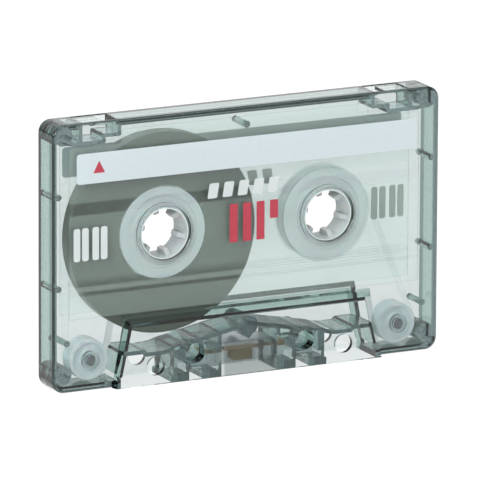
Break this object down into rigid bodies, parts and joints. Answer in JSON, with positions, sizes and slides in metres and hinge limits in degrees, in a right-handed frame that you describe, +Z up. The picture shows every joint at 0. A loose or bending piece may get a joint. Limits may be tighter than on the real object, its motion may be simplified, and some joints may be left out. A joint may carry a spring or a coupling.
{
  "type": "compact audio cassette",
  "caption": "Clear smoke-green audio cassette with a full tape pack on its left spool, floating hubs, guide rollers, a sprung felt pressure pad and slip sheets inside.",
  "frame": {"origin": "middle of the tape edge's footprint, half-way through the thickness", "axes": "+X along the length to the right seen from side one, +Z up from the tape edge, -Y towards side one"},
  "size_m": [0.1004, 0.012, 0.0638],
  "materials": {
    "clear_plastic": "clear smoke-green polystyrene, glossy",
    "slip_film": "thin clear film, slightly hazy",
    "label_white": "smooth white write-on strip",
    "hub_plastic": "milky white acetal",
    "magnetic_tape": "dark olive-brown wound tape edge",
    "leader_film": "clear leader tape",
    "splice_film": "splicing tape",
    "roller_plastic": "milky white acetal",
    "pin_steel": "ground steel",
    "spring_bronze": "phosphor bronze strip",
    "pad_felt": "pressed felt",
    "shield_steel": "plain shielding steel"
  },
  "bodies": {
    "case": {"case_front": "clear_plastic", "case_rear": "clear_plastic", "slip_sheet_front": "slip_film", "slip_sheet_rear": "slip_film", "label_front": "label_white", "label_rear": "label_white", "leader_run": "leader_film", "left_roller_pin": "pin_steel", "right_roller_pin": "pin_steel", "pad_spring": "spring_bronze", "shield_plate": "shield_steel"},
    "left_spool": {"left_hub": "hub_plastic", "left_hub_clip": "hub_plastic", "left_leader_wraps": "leader_film", "left_tape_pack": "magnetic_tape", "splice_tape": "splice_film"},
    "right_spool": {"right_hub": "hub_plastic", "right_hub_clip": "hub_plastic", "right_leader_wraps": "leader_film"},
    "left_roller": {"left_guide_roller": "roller_plastic"},
    "right_roller": {"right_guide_roller": "roller_plastic"},
    "pressure_pad": {"felt_pad": "pad_felt"}
  },
  "joints": [
    {"name": "left_spool_spin", "type": "hinge", "parent": "case", "child": "left_spool", "pos_m": [-0.02125, 0, 0.0354], "axis": [0, -1, 0], "continuous": true},
    {"name": "right_spool_spin", "type": "hinge", "parent": "case", "child": "right_spool", "pos_m": [0.02125, 0, 0.0354], "axis": [0, -1, 0], "continuous": true},
    {"name": "left_roller_spin", "type": "hinge", "parent": "case", "child": "left_roller", "pos_m": [-0.0402, 0, 0.007], "axis": [0, -1, 0], "continuous": true},
    {"name": "right_roller_spin", "type": "hinge", "parent": "case", "child": "right_roller", "pos_m": [0.0402, 0, 0.007], "axis": [0, -1, 0], "continuous": true},
    {"name": "pad_press", "type": "slide", "parent": "case", "child": "pressure_pad", "axis": [0, 0, 1], "range_m": [0, 0.0008], "stiffness_N_per_m": 80, "deforming": ["pad_spring"]}
  ],
  "couplings": [
    {"joint": "right_spool_spin", "follows": "left_spool_spin", "ratio": 2.087},
    {"joint": "left_roller_spin", "follows": "left_spool_spin", "ratio": 4.9485},
    {"joint": "right_roller_spin", "follows": "left_spool_spin", "ratio": 4.9485}
  ]
}
